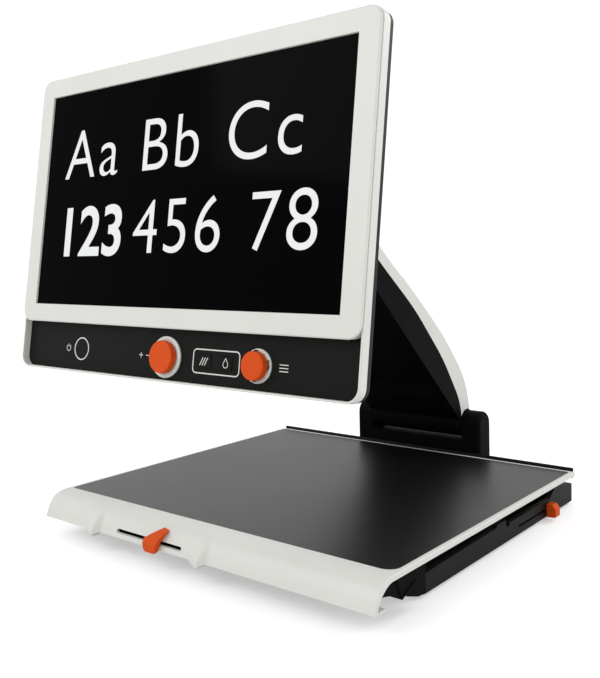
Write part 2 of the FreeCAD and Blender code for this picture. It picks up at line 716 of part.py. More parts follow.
def front_lever():
    """Faceted orange pointer on the lip that locks the table sideways."""
    body = new_body("lock_pointer")
    side = [(-221.5, 18.5), (-222.8, 27.0), (-217.0, 37.0), (-208.6, 41.2), (-208.2, 39.4),
            (-211.6, 35.0), (-215.0, 28.6), (-217.6, 20.6), (-218.2, 17.0)]
    pad(body, "YZ_Plane", polygon(side), -60.0, -10.0)
    front = [(-47.5, 20.5), (-45.0, 18.4), (-33.5, 18.4), (-31.0, 21.0), (-30.2, 28.0),
             (-24.5, 38.8), (-30.5, 41.2), (-47.5, 31.0)]
    waste = polygon([(-90.0, 0.0), (0.0, 0.0), (0.0, OPEN_TOP), (-90.0, OPEN_TOP)])
    cut(body, "XZ_Plane", waste + polygon(front), 190.0, 240.0)
    tongue_half = 1.1
    slot_mid = dim("lip_slot_mid")
    tongue = rectangle(-43.0, -35.0, slot_mid - tongue_half, slot_mid + tongue_half)
    pad(body, "XZ_Plane", tongue, 204.5, 217.0)
    return finish_node("front_lever", body)


def side_lever():
    """Orange block on the base's side that locks the table front to back."""
    body = new_body("lock_block")
    half = dim("tray_wide") / 2
    back = half + 0.5
    face = half + 11.0
    top = 18.5
    outline = rounded([(back, 4.0, 1.0), (face, 4.6, 2.0), (face, 13.5, 3.0),
                       (face - 3.5, top, 2.0), (back, top, 1.0)])
    pad(body, "XZ_Plane", outline, -150.0, -138.0)
    soften(body, lambda p: near(p.x, face, 2.5) and 4.5 < p.z < top - 0.5, 0.8)
    mid = dim("side_slot_mid")
    tongue_half = 1.0
    tongue = rectangle(140.5, 147.5, mid - tongue_half, mid + tongue_half)
    pad(body, "YZ_Plane", tongue, half - 11.0, half + 2.0)
    return finish_node("side_lever", body)


# ---------------------------------------------------------------- arm

def arm_point(along, depth):
    """Point in the (Y, Z) plane, up the arm's front ridge and then into its thickness."""
    slope = math.radians(dim("arm_slope"))
    up = (-math.cos(slope), math.sin(slope))
    inward = (math.sin(slope), math.cos(slope))
    return (dim("ridge_y") + along * up[0] + depth * inward[0],
            dim("ridge_z") + along * up[1] + depth * inward[1])


BACK_LINE = [(222.0, 88.0), (218.0, 110.0), (207.0, 136.0), (183.0, 166.0), (152.0, 197.0),
             (114.0, 229.0), (78.0, 257.5)]
SEAM_LINE = [(200.0, 88.0), (193.0, 112.0), (178.0, 134.5), (159.0, 160.0), (128.0, 193.0),
             (92.0, 228.0), (61.0, 253.0)]
HEAD_END = 186.0
HEAD_BACK = [(10.0, 41.2), (80.0, 38.8), (150.0, 37.5)]
HEAD_SEAM = [(25.0, 27.0), (80.0, 24.5), (150.0, 23.5)]


def back_curve(inset):
    """Outer rear line of the arm, from the hinge up to the head, moved inwards by an inset."""
    lower = []
    for (y, z), (next_y, next_z) in zip(BACK_LINE, BACK_LINE[1:] + [arm_point(*HEAD_BACK[0])]):
        run = math.hypot(next_y - y, next_z - z)
        lower.append((y - inset * (next_z - z) / run, z + inset * (next_y - y) / run))
    upper = [arm_point(along, depth - inset) for along, depth in HEAD_BACK]
    return lower + upper


def seam_curve():
    """Joint between the white rear shell and the black front shell."""
    return SEAM_LINE + [arm_point(along, depth) for along, depth in HEAD_SEAM]


def arm_rear_shell():
    """White back of the arm: a curved channel, open towards the front."""
    body = new_body("arm_back")
    back = back_curve(0.0)
    seam = seam_curve()
    head = [back[-1], arm_point(HEAD_END - 8.0, 34.0), arm_point(HEAD_END, 25.5),
            arm_point(HEAD_END, 23.0)]
    edges = [smooth(back), smooth(head[:3]), line(head[2], head[3]), line(head[3], seam[-1]),
             smooth(seam[::-1]), line(seam[0], back[0])]
    pad(body, "YZ_Plane", edges, "-dims.arm_half", "dims.arm_half")
    skin = dim("arm_skin")
    inner = back_curve(skin)
    far = arm_point(HEAD_END - 8.0 - skin, 34.0 - skin)
    edges = [smooth(inner), line(inner[-1], far), line(far, arm_point(HEAD_END - 4.0, 20.0)),
             line(arm_point(HEAD_END - 4.0, 20.0), arm_point(0.0, 10.0)),
             line(arm_point(0.0, 10.0), (190.0, 60.0)), line((190.0, 60.0), inner[0])]
    cut(body, "YZ_Plane", edges, "dims.arm_skin - dims.arm_half", "dims.arm_half - dims.arm_skin")
    bore(body, "YZ_Plane", (dim("hinge_y"), dim("hinge_z")), "dims.barrel_radius + 0.3",
         "-dims.arm_half - dims.overrun", "dims.arm_half + dims.overrun")
    return finish_node("arm_rear_shell", body)


def on_line(point, line_points, reach):
    """True where a point lies near the smooth curve through line_points in the (Y, Z) plane."""
    curve = smooth(line_points)
    spot = FreeCAD.Vector(point.y, point.z, 0)
    return curve.value(curve.parameter(spot)).distanceToPoint(spot) < reach


def arm_front_shell():
    """Black front of the arm: side walls, a sunk face and an open channel at the head."""
    body = new_body("arm_front")
    seam = seam_curve()
    y = dim("hinge_y")
    z = dim("hinge_z")
    tip = arm_point(HEAD_END, 23.0)
    nose = arm_point(HEAD_END, 6.0)
    ridge_top = arm_point(HEAD_END - 8.0, 0.0)
    ridge_low = arm_point(-232.0, 0.0)
    edges = [smooth(seam), line(seam[-1], tip), line(tip, nose), line(nose, ridge_top),
             line(ridge_top, ridge_low), line(ridge_low, seam[0])]
    pad(body, "YZ_Plane", edges, "-dims.arm_half", "dims.arm_half")
    boss(body, "YZ_Plane", (y, z), "dims.barrel_radius", "-dims.arm_half", "dims.arm_half")
    skin = dim("arm_skin")
    trough = dim("trough_depth")
    inside = [arm_point(HEAD_END - 3.0, trough + skin), arm_point(HEAD_END - 3.0, 80.0),
              arm_point(-200.0, 80.0), (232.0, 110.0), (225.0, 84.0), (y, z),
              arm_point(-238.0, 3.4), arm_point(-216.0, trough + skin)]
    cut(body, "YZ_Plane", polygon(inside), "-dims.arm_half + dims.arm_skin + 1",
        "dims.arm_half - dims.arm_skin - 1")
    bore(body, "YZ_Plane", (y, z), "dims.barrel_radius - dims.arm_skin",
         "-dims.arm_half + dims.arm_skin + 1", "dims.arm_half - dims.arm_skin - 1")
    bore(body, "YZ_Plane", (y, z), "dims.shaft_radius + 1", "-dims.arm_half - dims.overrun",
         "dims.arm_half + dims.overrun")
    face = [arm_point(-190.0, -10.0), arm_point(-190.0, 0.0), arm_point(-176.0, trough),
            arm_point(20.0, trough), arm_point(20.0, -10.0)]
    cut(body, "YZ_Plane", polygon(face), "-dims.trough_half", "dims.trough_half")
    channel = [arm_point(15.0, -10.0), arm_point(15.0, 60.0), arm_point(HEAD_END - 2.0, 60.0),
               arm_point(HEAD_END - 2.0, -10.0)]
    cut(body, "YZ_Plane", polygon(channel), "-dims.trough_half", "dims.trough_half")
    return finish_node("arm_front_shell", body)


def arm_spine():
    """Folded steel channel inside the arm: two flanges, a web and two hinge barrels."""
    body = new_body("spine")
    y = dim("hinge_y")
    z = dim("hinge_z")
    flange = [arm_point(-262.0, 14.0), arm_point(-232.0, 22.0), arm_point(-195.0, 32.0),
              arm_point(-110.0, 36.0), arm_point(-20.0, 33.0), arm_point(60.0, 31.0),
              arm_point(150.0, 30.0), arm_point(172.0, 28.0), arm_point(174.0, 12.0),
              arm_point(-205.0, 14.5), arm_point(-238.0, 8.0), arm_point(-258.0, 2.0)]
    pad(body, "YZ_Plane", polygon(flange), "-dims.spine_half", "dims.spine_half")
    web = [arm_point(-200.0, 13.6), arm_point(-200.0, 27.0), arm_point(-110.0, 31.0),
           arm_point(-20.0, 28.0), arm_point(12.0, 27.6), arm_point(12.0, 10.0),
           arm_point(-200.0, 10.0)]
    inner = dim("spine_half") - dim("spine_plate")
    cut(body, "YZ_Plane", polygon(web), -inner, inner)
    head = [arm_point(11.0, 0.0), arm_point(11.0, 50.0), arm_point(200.0, 50.0),
            arm_point(200.0, 0.0)]
    cut(body, "YZ_Plane", polygon(head), -inner, inner)
    foot = [arm_point(-199.0, 0.0), arm_point(-199.0, 60.0), arm_point(-300.0, 60.0),
            arm_point(-300.0, -30.0), arm_point(-240.0, -30.0)]
    cut(body, "YZ_Plane", polygon(foot), -inner, inner)
    for low, high in ((-58.0, -40.0), (40.0, 58.0)):
        boss(body, "YZ_Plane", (y, z), 12.0, low, high)
    for spot, radius in (((y, z), "dims.shaft_radius + dims.running_gap"),
                         ((dim("elbow_y"), dim("elbow_z")), "dims.elbow_pin_radius")):
        bore(body, "YZ_Plane", spot, radius, "-dims.arm_half", "dims.arm_half")
    return finish_node("arm_spine", body)


def elbow_shaft():
    """Pin through the spine's two flanges at the top of the arm."""
    half = 56.0
    start = (-half, dim("elbow_y"), dim("elbow_z"))
    return finish_node("elbow_shaft", rod("elbow_pin", start, X_AXIS, "dims.elbow_pin_radius",
                                          2 * half))


def camera_parts():
    """Camera that looks straight down at the table, its lens and the bracket that holds it."""
    y = dim("camera_y")
    low = dim("camera_low")
    body = new_body("camera_case")
    top = low + dim("camera_tall")
    recess_top = low + 4.0
    lens_low = low + 0.6
    boss(body, "XY_Plane", (0.0, y), "dims.camera_radius", low, top)
    bore(body, "XY_Plane", (0.0, y), "dims.camera_radius - 3", low - PAST, recess_top)
    finish_node("camera_module", body)
    lens = new_body("lens")
    boss(lens, "XY_Plane", (0.0, y), "dims.camera_radius - 3", lens_low, recess_top)
    soften(lens, lambda p: near(p.z, lens_low), 1.6)
    finish_node("camera_lens", lens)
    bracket = new_body("camera_bridge")
    half = dim("spine_half") - dim("spine_plate")
    pad(bracket, "XY_Plane", rectangle(-half, half, y - 5.0, y + 1.0), top, top + 2.0)
    finish_node("camera_bracket", bracket)


def led_bars():
    """Two lamp bars beside the camera, aimed at the table."""
    bars = []
    for sign in (-1, 1):
        body = new_body(f"lamp_{sign + 1}")
        low, high = sorted((sign * 18.0, sign * 27.0))
        outline = [arm_point(92.0, 8.0), arm_point(146.0, 8.0), arm_point(146.0, 12.0),
                   arm_point(92.0, 12.0)]
        pad(body, "YZ_Plane", polygon(outline), low, high)
        bars.append(body)
    return group("led_bars", bars)


def lamp_bridge():
    """Cross strip between the spine's flanges, with a post behind each lamp bar."""
    body = new_body("lamp_strip")
    half = dim("spine_half") - dim("spine_plate")
    strip = [arm_point(92.0, 22.0), arm_point(103.0, 22.0), arm_point(103.0, 24.0),
             arm_point(92.0, 24.0)]
    pad(body, "YZ_Plane", polygon(strip), -half, half)
    post = [arm_point(93.0, 12.05), arm_point(101.0, 12.05), arm_point(101.0, 22.0),
            arm_point(93.0, 22.0)]
    for low, high in ((-26.0, -19.0), (19.0, 26.0)):
        pad(body, "YZ_Plane", polygon(post), low, high)
    return finish_node("lamp_bridge", body)


# ---------------------------------------------------------------- neck and monitor

def monitor_place():
    """Placement of the monitor's own frame: X right, Y up the screen, Z out of the screen."""
    turn = FreeCAD.Rotation(FreeCAD.Vector(1, 0, 0), 90.0 - dim("screen_lean"))
    return FreeCAD.Placement(FreeCAD.Vector(0, dim("screen_y"), dim("screen_z")), turn)


def tilt_axis():
    """The monitor's tilt axis, as a point in the (Y, Z) plane."""
    spot = monitor_place().multVec(FreeCAD.Vector(0, 0, -dim("tilt_depth")))
    return (spot.y, spot.z)


def neck_links():
    """Two flat links from the arm's elbow to the monitor's tilt pin."""
    elbow = (dim("elbow_y"), dim("elbow_z"))
    tilt = tilt_axis()
    links = []
    for sign in (-1, 1):
        body = new_body(f"link_{sign + 1}")
        low, high = sorted((sign * dim("link_inner"), sign * dim("link_outer")))
        pad(body, "YZ_Plane", slot(elbow, tilt, dim("link_radius")), low, high)
        for spot, radius in ((elbow, "dims.elbow_pin_radius + dims.running_gap"),
                             (tilt, "dims.tilt_pin_radius")):
            bore(body, "YZ_Plane", spot, radius, "-dims.arm_half", "dims.arm_half")
        links.append(body)
    return group("neck_links", links)


def tilt_pin():
    """Pin fixed in the two neck links; the monitor's bracket turns on it."""
    y, z = tilt_axis()
    start = (-dim("tilt_pin_half"), y, z)
    return finish_node("tilt_pin", rod("tilt_rod", start, X_AXIS, "dims.tilt_pin_radius",
                                       "2 * dims.tilt_pin_half"))


def tilt_block():
    """Spacer drum pressed on the tilt pin between the two lugs of the monitor's bracket."""
    y, z = tilt_axis()
    body = new_body("spacer_drum")
    half = 13.0
    boss(body, "YZ_Plane", (y, z), 7.6, -half, half)
    bore(body, "YZ_Plane", (y, z), "dims.tilt_pin_radius", -half, half)
    return finish_node("tilt_block", body)


def monitor_body(name):
    """An empty body whose own frame is the monitor's."""
    body = new_body(name)
    body.Placement = monitor_place()
    return body


def front_bezel():
    """White frame around the screen, with a step behind its front edge."""
    body = monitor_body("bezel")
    half = dim("bezel_half")
    top = dim("bezel_top")
    low = dim("bezel_low")
    radius = dim("bezel_corner")
    step = 1.7
    pad(body, "XY_Plane", rectangle(-half + step, half - step, low + 0.6, top - step,
                                    radius - step), -8.0, -0.4)
    pad(body, "XY_Plane", rectangle(-half, half, low, top, radius), -0.4, "dims.bezel_front")
    wide = dim("screen_wide") / 2
    tall = dim("screen_tall") / 2
    cut(body, "XY_Plane", rectangle(-wide, wide, -tall, tall), -9.0, 4.0)
    soften(body, lambda p: near(p.z, dim("bezel_front"))
           and (abs(p.x) > wide + 1.0 or abs(p.y) > tall + 1.0), 1.6)
    return finish_node("front_bezel", body)


def housing_rim():
    """Narrow white band around the screen and the control panel."""
    body = monitor_body("rim")
    half = dim("rim_half")
    top = dim("rim_top")
    low = dim("rim_low")
    wall = dim("rim_wall")
    pad(body, "XY_Plane", rectangle(-half, half, low, top, 12.5), "dims.rim_back",
        "dims.rim_front")
    soften(body, lambda p: near(p.z, dim("rim_front")), 0.8)
    cut(body, "XY_Plane", rectangle(-half + wall, half - wall, low + wall, top - wall, 10.7),
        -11.0, 1.0)
    return finish_node("housing_rim", body)


GROOVE_DEEP = 1.0
KEY_GAP = 0.1
COVER_SCREWS = [(x, y) for x in (-180.0, 180.0) for y in (-145.0, 100.0)]
VENT_COUNT = 20
VENT_STEP = 8.0
VENT_HALF = 1.4
VENT_SPAN = (64.0, 92.0)


def rear_cover():
    """Dark rear shell of the monitor: a flange, a raised rounded back and a row of vents."""
    body = monitor_body("cover")
    half = dim("rim_half") - 0.4
    top = dim("rim_top") - 0.4
    low = dim("rim_low") + 0.4
    back = dim("cover_back")
    pad(body, "XY_Plane", rectangle(-half, half, low, top, 12.1), "dims.cover_flange",
        "dims.rim_back")
    step = 9.0
    pad(body, "XY_Plane", rectangle(-half + step, half - step, low + step, top - step, 14.0),
        "dims.cover_back", "dims.cover_flange")
    soften(body, lambda p: near(p.z, back), 7.0)
    soften(body, lambda p: near(p.z, dim("cover_flange")) and (
        near(abs(p.x), half, 13.0) or near(p.y, top, 13.0) or near(p.y, low, 13.0))
        and not (abs(p.x) < half - step + 0.5 and low + step - 0.5 < p.y < top - step + 0.5), 2.0)
    wall = dim("cover_wall")
    inner = step + wall
    cut(body, "XY_Plane", rectangle(-half + wall, half - wall, low + wall, top - wall, 9.6),
        "dims.cover_flange + dims.cover_wall", 0.0)
    cut(body, "XY_Plane", rectangle(-half + inner, half - inner, low + inner, top - inner, 11.5),
        "dims.cover_back + dims.cover_wall", 0.0)
    for x, y in COVER_SCREWS:
        bore(body, "XY_Plane", (x, y), SCREW_SHANK, back - 1.0, back + wall + 1.0)
    vents = []
    for index in range(VENT_COUNT):
        middle = (index - (VENT_COUNT - 1) / 2) * VENT_STEP
        vents += rectangle(middle - VENT_HALF, middle + VENT_HALF, *VENT_SPAN, VENT_HALF - 0.05)
    cut(body, "XY_Plane", vents, back - 1.0, back + wall + 1.0)
    return finish_node("rear_cover", body)


def cover_screws():
    """Four screws through the rear cover."""
    head_tall = 1.4
    shank_long = 8.0
    screws = []
    back = dim("cover_back")
    place = monitor_place()
    outward = place.Rotation.multVec(FreeCAD.Vector(0, 0, 1))
    for index, (x, y) in enumerate(COVER_SCREWS):
        low = place.multVec(FreeCAD.Vector(x, y, back - head_tall))
        seat = place.multVec(FreeCAD.Vector(x, y, back))
        screw = doc.addObject("Part::Fuse", f"cover_screw_{index}")
        screw.Base = rod(f"cover_head_{index}", low, outward, SCREW_HEAD, head_tall)
        screw.Tool = rod(f"cover_shank_{index}", seat, outward, SCREW_SHANK, shank_long)
        screws.append(screw)
    return group("cover_screws", screws)


def control_panel():
    """Black strip under the screen that holds the knobs and switches."""
    body = monitor_body("panel")
    half = dim("rim_half") - dim("rim_wall")
    low = dim("rim_low") + dim("rim_wall")
    front = dim("panel_front")
    back = "dims.panel_front - dims.panel_thick"
    pad(body, "XY_Plane", rounded([(-half, low, 10.7), (half, low, 10.7), (half, -125.5, 1.0),
                                   (-half, -125.5, 1.0)]), back, front)
    for knob in ("zoom", "function"):
        bore(body, "XY_Plane", (dim(f"{knob}_x"), dim(f"{knob}_y")), "dims.knob_shaft + 0.2",
             front - 5.0, front + 1.0)
    power = (dim("power_x"), dim("power_y"))
    bore(body, "XY_Plane", power, "dims.power_radius", front - 5.0, front + 1.0)
    x = dim("switch_x")
    y = dim("switch_y")
    cut(body, "XY_Plane", frame_outline(), front - GROOVE_DEEP, front + PAST)
    for sign in (-1, 1):
        centre = x + sign * dim("switch_step")
        cut(body, "XY_Plane", key_outline(centre, y, KEY_GAP), front - 5.0, front + PAST)
    return finish_node("control_panel", body)


def frame_outline():
    """Outer and inner edge of the line that frames the two keys."""
    x = dim("switch_x")
    y = dim("switch_y")
    wide = dim("switch_wide") / 2
    tall = dim("switch_tall") / 2
    ring = dim("ring_line")
    corner = 4.5
    outside = rectangle(x - wide, x + wide, y - tall, y + tall, corner)
    inside = rectangle(x - wide + ring, x + wide - ring, y - tall + ring, y + tall - ring,
                       corner - ring)
    return outside + inside


def key_outline(x, y, grow):
    """Outline of a key, or of its opening when grown."""
    half_wide = dim("key_wide") / 2 + grow
    half_tall = dim("key_tall") / 2 + grow
    return rectangle(x - half_wide, x + half_wide, y - half_tall, y + half_tall, 1.5)


def switch_frame():
    """White line let into the panel around the two keys."""
    body = monitor_body("key_frame")
    front = dim("panel_front")
    pad(body, "XY_Plane", frame_outline(), front - GROOVE_DEEP, front + 0.15)
    return finish_node("switch_frame", body)


def push_keys():
    """Two small rocker keys and the round power button, each free to travel inwards."""
    front = dim("panel_front")
    key_back = front - 2.4
    key_face = front + 0.8
    for name, sign in (("line_button", -1), ("light_button", 1)):
        body = monitor_body(f"key_{name}")
        centre = dim("switch_x") + sign * dim("switch_step")
        pad(body, "XY_Plane", key_outline(centre, dim("switch_y"), 0.0), key_back, key_face)
        soften(body, lambda p: near(p.z, key_face), 0.6)
        finish_node(name, body)
    power = (dim("power_x"), dim("power_y"))
    ring = monitor_body("power_bezel")
    boss(ring, "XY_Plane", power, "dims.power_radius", front - 2.0, front + 0.3)
    bore(ring, "XY_Plane", power, "dims.power_radius - dims.ring_line", front - 3.0,
         front + PAST)
    finish_node("power_ring", ring)
    button = monitor_body("power_key")
    boss(button, "XY_Plane", power, "dims.power_radius - dims.ring_line - dims.running_gap",
         key_back, front + 0.1)
    finish_node("power_button", button)


def knob(name, prefix):
    """Turning knob: a domed orange cap on a short shaft."""
    body = monitor_body(f"{prefix}_cap")
    centre = (dim(f"{prefix}_x"), dim(f"{prefix}_y"))
    front = dim(f"{prefix}_front")
    cap_back = -6.0
    shaft_end = -14.0
    boss(body, "XY_Plane", centre, f"dims.{prefix}_radius", cap_back, front)
    soften(body, lambda p: near(p.z, front), 1.4)
    soften(body, lambda p: near(p.z, cap_back), 0.5)
    boss(body, "XY_Plane", centre, "dims.knob_shaft", shaft_end, cap_back)
    return finish_node(name, body)


def collar(name, prefix):
    """White dished ring around a knob."""
    body = monitor_body(f"{prefix}_ring")
    centre = (dim(f"{prefix}_x"), dim(f"{prefix}_y"))
    low = dim("panel_front")
    high = low + 2.2
    boss(body, "XY_Plane", centre, f"dims.{prefix}_collar", low, high)
    soften(body, lambda p: near(p.z, high), 1.0)
    bore(body, "XY_Plane", centre, f"dims.{prefix}_radius + 1.0", low + 1.2, high + 1.0)
    bore(body, "XY_Plane", centre, "dims.knob_shaft + dims.running_gap", low - 1.0, high + 1.0)
    return finish_node(name, body)


def knob_encoders():
    """Turn sensors behind the panel; each one holds the end of a knob's shaft."""
    sensors = []
    half = 7.0
    back = dim("panel_front") - dim("panel_thick")
    for prefix in ("zoom", "function"):
        centre = (dim(f"{prefix}_x"), dim(f"{prefix}_y"))
        body = monitor_body(f"{prefix}_sensor")
        outline = rectangle(centre[0] - half, centre[0] + half, centre[1] - half,
                            centre[1] + half, 1.0)
        pad(body, "XY_Plane", outline, -18.0, back - 0.1)
        bore(body, "XY_Plane", centre, "dims.knob_shaft + dims.running_gap", -14.5, back)
        sensors.append(body)
    return group("knob_encoders", sensors)


def plate(name, label, x_half, y_range, z_range, radius):
    """A flat rectangular piece inside the monitor."""
    body = monitor_body(label)
    pad(body, "XY_Plane", rectangle(-x_half, x_half, y_range[0], y_range[1], radius),
        z_range[0], z_range[1])
    return finish_node(name, body)


def monitor_inside():
    """Glass, display panel, its metal frame and the circuit board, from front to back."""
    gap = 0.15
    wide = dim("screen_wide") / 2 - gap
    tall = dim("screen_tall") / 2 - gap
    plate("screen_glass", "glass", wide, (-tall, tall), (-1.4, 0.0), 0.8)
    plate("lcd_module", "display", wide, (-tall, tall), (-7.8, -1.5), 0.8)
    plate("panel_frame", "display_frame", 198.0, (-116.0, 116.0), (-12.0, -10.2), 4.0)
    plate("main_board", "board_main", 90.0, (-70.0, 60.0), (-22.0, -20.4), 3.0)
    plate("control_board", "board_keys", 150.0, (-158.0, -132.0), (-21.0, -19.4), 2.0)


def tilt_bracket():
    """Steel bracket on the monitor's back with two lugs for the tilt pin."""
    body = monitor_body("bracket")
    back = dim("cover_back")
    depth = -dim("tilt_depth")
    plate_front = back - 0.05
    pad(body, "XY_Plane", rectangle(-40.0, 40.0, -30.0, 30.0, 5.0), back - 2.5, plate_front)
    for low, high in ((-22.0, -14.0), (14.0, 22.0)):
        pad(body, "YZ_Plane", slot((0.0, back - 2.0), (0.0, depth), 7.6), low, high)
    cut(body, "XY_Plane", rectangle(-45.0, 45.0, -35.0, 35.0), plate_front, 0.0)
    bore(body, "YZ_Plane", (0.0, depth), "dims.tilt_pin_radius + dims.running_gap", -60.0, 60.0)
    return finish_node("tilt_bracket", body)


def build():
    """Make every piece of the magnifier."""
    base_tray()
    base_floor()
    rubber_feet()
    floor_screws()
    y_rails()
    rear_deck()
    hinge_housing()
    power_inlet()
    hinge_shaft()
    hinge_spring()
    base_inside()
    carriage_plate()
    y_bushes()
    x_rails()
    table_plate()
    reading_surface()
    rear_strip()
    table_ribs()
    lock_guide()
    x_bushes()
    front_lever()
    side_lever()
    arm_rear_shell()
    arm_front_shell()
    arm_spine()
    elbow_shaft()
    camera_parts()
    led_bars()
    lamp_bridge()
    neck_links()
    tilt_pin()
    tilt_block()
    front_bezel()
    housing_rim()
    rear_cover()
    cover_screws()
    control_panel()
    switch_frame()
    push_keys()
    knob("zoom_knob", "zoom")
    knob("function_knob", "function")
    collar("zoom_collar", "zoom")
    collar("function_collar", "function")
    knob_encoders()
    monitor_inside()
    tilt_bracket()


def check_document():
    """Stop if any object failed to compute or any piece has no sound shape."""
    problems = [f"{thing.Name} failed: {thing.State}" for thing in doc.Objects
                if "Invalid" in thing.State or "Error" in thing.State]
    problems += [f"{name} has no valid shape" for name, thing in nodes.items()
                 if thing.Shape.isNull() or not thing.Shape.isValid()]
    if problems:
        raise RuntimeError("; ".join(problems))


def write_files():
    """Write one STEP file for each piece."""
    os.makedirs("parts", exist_ok=True)
    for name, thing in nodes.items():
        thing.Shape.exportStep(f"parts/{name}.step")


build()
doc.recompute()
check_document()
write_files()
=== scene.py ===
"""Looks of the folding video magnifier: materials, fine shapes, light and camera."""

import json
import math

import bpy
from mathutils import Matrix, Vector


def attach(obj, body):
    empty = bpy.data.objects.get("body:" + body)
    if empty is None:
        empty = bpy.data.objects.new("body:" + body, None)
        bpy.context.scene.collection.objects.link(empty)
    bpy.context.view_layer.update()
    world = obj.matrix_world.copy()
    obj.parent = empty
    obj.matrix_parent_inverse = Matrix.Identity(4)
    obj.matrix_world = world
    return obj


MM = 0.001
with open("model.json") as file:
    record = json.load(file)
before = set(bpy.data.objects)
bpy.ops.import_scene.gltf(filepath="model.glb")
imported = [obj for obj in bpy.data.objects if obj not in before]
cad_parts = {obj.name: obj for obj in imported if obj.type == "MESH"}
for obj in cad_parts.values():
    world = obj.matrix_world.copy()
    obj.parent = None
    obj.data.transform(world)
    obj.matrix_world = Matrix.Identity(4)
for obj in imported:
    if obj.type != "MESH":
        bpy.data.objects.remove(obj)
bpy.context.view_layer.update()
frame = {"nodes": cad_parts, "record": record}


# ---------------------------------------------------------------- materials

def srgb(red, green, blue):
    """Linear colour from 0 to 255 display values."""
    def linear(value):
        share = value / 255
        return share / 12.92 if share <= 0.04045 else ((share + 0.055) / 1.055) ** 2.4
    return (linear(red), linear(green), linear(blue), 1.0)


def new_material(name, colour, rough, metal=0.0, specular=0.5):
    material = bpy.data.materials.new(f"{name}_finish")
    material.use_nodes = True
    shader = material.node_tree.nodes["Principled BSDF"]
    shader.inputs["Base Color"].default_value = colour
    shader.inputs["Roughness"].default_value = rough
    shader.inputs["Metallic"].default_value = metal
    shader.inputs["Specular IOR Level"].default_value = specular
    return material


def add(owner, kind, **settings):
    """Add a shader node to a material or world and set its sockets or properties by name."""
    node = owner.node_tree.nodes.new(kind)
    for key, value in settings.items():
        if key in node.inputs:
            node.inputs[key].default_value = value
        else:
            setattr(node, key, value)
    return node


def wire(owner, source, output, target, entry):
    """Join a node's output to another node's input."""
    owner.node_tree.links.new(source.outputs[output], target.inputs[entry])


DRIFT_SCALE = 14.0          # waves per metre of the slow change in tone and gloss
BUMP_STRENGTH = 0.6


def moulded(name, colour, rough, grain=0.35, depth=0.05, spread=0.06, tint=0.04, **rest):
    """Moulded plastic: spark-eroded grain, slight tone drift and uneven gloss.

    grain and depth are in mm; spread and tint are how far roughness and tone wander.
    """
    material = new_material(name, colour, rough, **rest)
    shader = material.node_tree.nodes["Principled BSDF"]
    place = add(material, "ShaderNodeTexCoord")
    fine = add(material, "ShaderNodeTexNoise", Scale=1 / (grain * MM), Detail=3.0, Roughness=0.55)
    wide = add(material, "ShaderNodeTexNoise", Scale=DRIFT_SCALE, Detail=2.0)
    wire(material, place, "Object", fine, "Vector")
    wire(material, place, "Object", wide, "Vector")
    bump = add(material, "ShaderNodeBump", Strength=BUMP_STRENGTH, Distance=depth * MM)
    wire(material, fine, "Fac", bump, "Height")
    wire(material, bump, "Normal", shader, "Normal")
    gloss = add(material, "ShaderNodeMapRange", **{"To Min": rough - spread,
                                                   "To Max": rough + spread})
    wire(material, wide, "Fac", gloss, "Value")
    wire(material, gloss, "Result", shader, "Roughness")
    tone = add(material, "ShaderNodeMapRange", **{"To Min": 1 - tint, "To Max": 1 + tint})
    wire(material, wide, "Fac", tone, "Value")
    shade = add(material, "ShaderNodeHueSaturation", Color=colour)
    wire(material, tone, "Result", shade, "Value")
    wire(material, shade, "Color", shader, "Base Color")
    return material


def glowing(name, colour):
    """Lit pixels of the display."""
    material = new_material(name, (0, 0, 0, 1), 0.5, specular=0.0)
    shader = material.node_tree.nodes["Principled BSDF"]
    shader.inputs["Emission Color"].default_value = colour
    shader.inputs["Emission Strength"].default_value = 1.0
    return material


WHITE = moulded("white_shell", srgb(222, 223, 217), 0.45, grain=0.5, depth=0.02)
BLACK = moulded("black_shell", srgb(14, 16, 15), 0.52, grain=0.45, depth=0.06, specular=0.18)
# Darker, less glossy copy of the black shell: painted shade on black parts that sit in shade.
PAINTED_SHADE_BLACK = moulded("painted_shade_black", srgb(9, 10, 10), 0.6, grain=0.45, depth=0.06, specular=0.05)
COVER = moulded("cover_shell", srgb(24, 26, 26), 0.5, grain=0.5, depth=0.06, specular=0.3)
CONTROL = moulded("control_black", srgb(25, 27, 25), 0.42, grain=0.3, depth=0.02, specular=0.06)
ORANGE = moulded("orange_plastic", srgb(216, 80, 22), 0.45, grain=0.4, depth=0.03, specular=0.12)
FIELD = moulded("reading_field", srgb(10, 11, 10), 0.36, grain=0.3, depth=0.006, spread=0.02)
GLASS = moulded("screen", srgb(5, 5, 5), 0.1, grain=1.0, depth=0.0, spread=0.01, specular=0.01)
LIT = glowing("screen_content", (0.86, 0.87, 0.88, 1.0))
STEEL = moulded("steel", srgb(170, 170, 172), 0.3, grain=0.2, depth=0.01, metal=1.0)
BRONZE = moulded("bronze", srgb(168, 128, 72), 0.45, grain=0.2, depth=0.02, metal=1.0)
PAINT = moulded("black_metal", srgb(20, 20, 21), 0.42, grain=0.3, depth=0.03, specular=0.3)
RUBBER = moulded("foot_rubber", srgb(18, 18, 18), 0.8, grain=0.4, depth=0.06)
SCREW = moulded("screw_steel", srgb(110, 110, 112), 0.38, grain=0.2, depth=0.01, metal=1.0)
CIRCUIT = moulded("circuit", srgb(20, 84, 52), 0.4, grain=0.6, depth=0.03)
BATTERY = moulded("battery", srgb(40, 52, 74), 0.35, grain=0.8, depth=0.02)
LENS = moulded("lens", srgb(8, 8, 14), 0.05, grain=1.0, depth=0.0, spread=0.01)
LAMP = moulded("lamp", srgb(236, 236, 226), 0.4, grain=0.6, depth=0.04)
METAL = moulded("display_metal", srgb(180, 182, 184), 0.35, grain=0.3, depth=0.01, metal=1.0)
